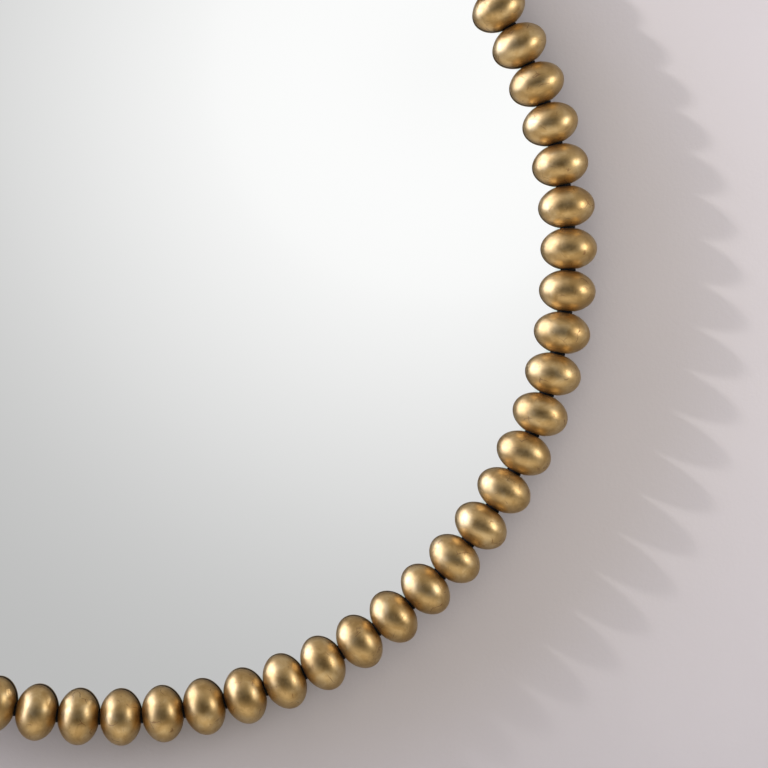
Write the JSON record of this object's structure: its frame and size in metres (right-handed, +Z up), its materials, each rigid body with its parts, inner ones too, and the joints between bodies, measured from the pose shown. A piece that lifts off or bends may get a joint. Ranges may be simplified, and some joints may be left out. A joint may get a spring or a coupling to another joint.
{
  "type": "round wall mirror",
  "caption": "Round wall mirror: a silvered pane inside a ring of gilded beads strung on a hoop, on a board with hinged D-ring hangers.",
  "frame": {"origin": "on the ring's axis, in the wall plane in which the four bumper faces lie", "axes": "+Z up as the mirror hangs, -Y out of the mirror's face towards the room, +Y into the wall, +X to the right as seen from the room"},
  "size_m": [0.9135, 0.0562, 0.9136],
  "materials": {
    "silvered_glass": "clear silvered float glass, polished",
    "gold_leaf": "turned wood, gesso and gold leaf, satin",
    "black_steel": "matt black",
    "black_washer": "matt black",
    "black_board": "fibreboard, black paint",
    "foam_tape": "white foam tape",
    "black_foam": "closed-cell foam rubber, black",
    "plain_steel": "zinc plated",
    "bumper_rubber": "soft black rubber"
  },
  "bodies": {
    "mirror": {"backing_board": "black_board", "bead_hoop": "black_steel", "bead_run_01": "gold_leaf", "bead_run_02": "gold_leaf", "bead_run_03": "gold_leaf", "bead_run_04": "gold_leaf", "bead_run_05": "gold_leaf", "bead_run_06": "gold_leaf", "bead_run_07": "gold_leaf", "bead_run_08": "gold_leaf", "bead_run_09": "gold_leaf", "bead_run_10": "gold_leaf", "bead_run_11": "gold_leaf", "bead_run_12": "gold_leaf", "bead_spacers": "black_washer", "bumper_screws": "plain_steel", "edge_strips": "black_foam", "hanger_screws": "plain_steel", "hoop_sleeve": "plain_steel", "hoop_tab_01": "black_steel", "hoop_tab_02": "black_steel", "hoop_tab_03": "black_steel", "hoop_tab_04": "black_steel", "hoop_tab_05": "black_steel", "hoop_tab_06": "black_steel", "hoop_tab_07": "black_steel", "hoop_tab_08": "black_steel", "hoop_tab_09": "black_steel", "hoop_tab_10": "black_steel", "hoop_tab_11": "black_steel", "hoop_tab_12": "black_steel", "left_hanger_strap": "plain_steel", "mirror_pane": "silvered_glass", "mounting_tape_strips": "foam_tape", "right_hanger_strap": "plain_steel", "tab_nuts": "plain_steel", "tab_screws": "plain_steel", "wall_bumper_1": "bumper_rubber", "wall_bumper_2": "bumper_rubber", "wall_bumper_3": "bumper_rubber", "wall_bumper_4": "bumper_rubber"},
    "left_ring": {"left_hanger_ring": "plain_steel"},
    "right_ring": {"right_hanger_ring": "plain_steel"}
  },
  "joints": [
    {"name": "left_ring_swing", "type": "hinge", "parent": "mirror", "child": "left_ring", "pos_m": [-0.2394, -0.00482, 0.20811], "axis": [-1, 0, 0], "range_deg": [-3, 178]},
    {"name": "right_ring_swing", "type": "hinge", "parent": "mirror", "child": "right_ring", "pos_m": [0.2394, -0.00482, 0.20811], "axis": [-1, 0, 0], "range_deg": [-3, 178]}
  ]
}
